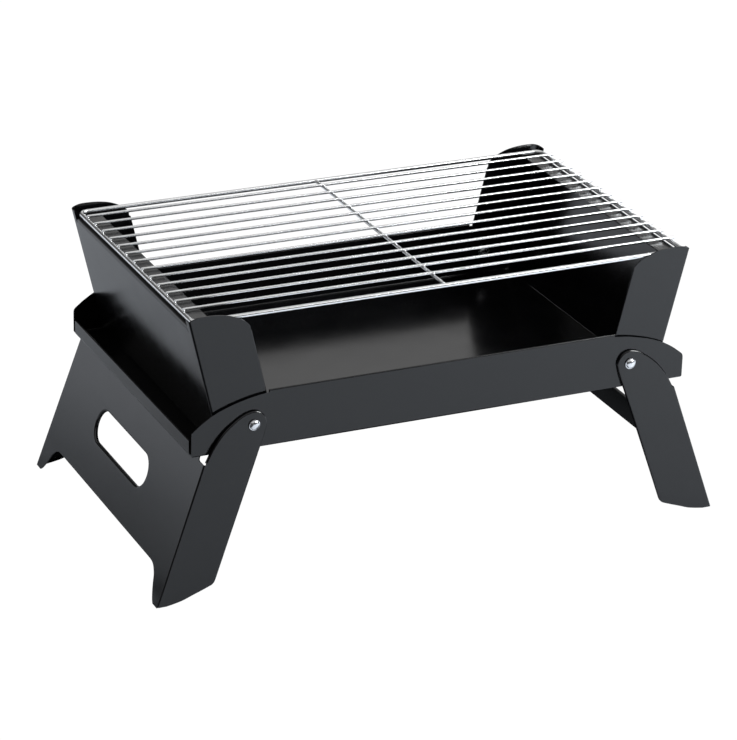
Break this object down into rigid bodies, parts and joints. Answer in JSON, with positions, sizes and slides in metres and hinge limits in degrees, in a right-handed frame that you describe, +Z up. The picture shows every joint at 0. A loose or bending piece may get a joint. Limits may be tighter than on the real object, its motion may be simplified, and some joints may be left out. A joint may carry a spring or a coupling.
{
  "type": "folding camp grill",
  "caption": "Table-top charcoal grill with a sheet-metal fire tray, hinged end panels, a wire cooking rack and folding U-shaped legs.",
  "frame": {"origin": "on the ground plane, at the centre of the deployed grill's bounding box", "axes": "+X along the length to the right-hand end, +Y to the back, +Z up"},
  "size_m": [0.5162, 0.2984, 0.2449],
  "materials": {
    "black_enamel": "semi-gloss heat-resistant black coating",
    "bright_wire": "bright chrome-plated round wire",
    "zinc": "bright zinc plate",
    "spacer": "black-coated thin steel washer"
  },
  "bodies": {
    "tray": {"fire_tray": "black_enamel", "rivet_front_left": "zinc", "rivet_front_right": "zinc", "rivet_back_left": "zinc", "rivet_back_right": "zinc", "outer_washer_front_left": "spacer", "outer_washer_front_right": "spacer", "outer_washer_back_left": "spacer", "outer_washer_back_right": "spacer", "middle_washer_front_left": "spacer", "middle_washer_front_right": "spacer", "middle_washer_back_left": "spacer", "middle_washer_back_right": "spacer", "inner_washer_front_left": "zinc", "inner_washer_front_right": "zinc", "inner_washer_back_left": "zinc", "inner_washer_back_right": "zinc"},
    "left_end": {"end_panel_left": "black_enamel"},
    "right_end": {"end_panel_right": "black_enamel"},
    "left_leg": {"leg_left": "black_enamel"},
    "right_leg": {"leg_right": "black_enamel"},
    "rack": {"rack_frame": "bright_wire", "rack_wire_01": "bright_wire", "rack_wire_02": "bright_wire", "rack_wire_03": "bright_wire", "rack_wire_04": "bright_wire", "rack_wire_05": "bright_wire", "rack_wire_06": "bright_wire", "rack_wire_07": "bright_wire", "rack_wire_08": "bright_wire", "rack_wire_09": "bright_wire", "rack_wire_10": "bright_wire", "rack_wire_11": "bright_wire", "rack_wire_12": "bright_wire", "rack_wire_13": "bright_wire", "rack_cross_wire": "bright_wire"}
  },
  "joints": [
    {"name": "left_end_fold", "type": "hinge", "parent": "tray", "child": "left_end", "pos_m": [-0.1718, 0, 0.1471], "axis": [0, 1, 0], "range_deg": [0, 103.4]},
    {"name": "right_end_fold", "type": "hinge", "parent": "tray", "child": "right_end", "pos_m": [0.1718, 0, 0.1471], "axis": [0, -1, 0], "range_deg": [0, 103.4]},
    {"name": "rack_lift", "type": "slide", "parent": "tray", "child": "rack", "axis": [0, 0, 1], "range_m": [0, 0.13]},
    {"name": "left_leg_fold", "type": "hinge", "parent": "tray", "child": "left_leg", "pos_m": [-0.1718, 0, 0.1471], "axis": [0, -1, 0], "range_deg": [0, 109.4]},
    {"name": "right_leg_fold", "type": "hinge", "parent": "tray", "child": "right_leg", "pos_m": [0.1718, 0, 0.1471], "axis": [0, 1, 0], "range_deg": [0, 109.4]}
  ],
  "couplings": [
    {"joint": "right_end_fold", "follows": "left_end_fold", "ratio": 1},
    {"joint": "rack_lift", "follows": "left_end_fold", "m_per_rad": 0.072}
  ]
}
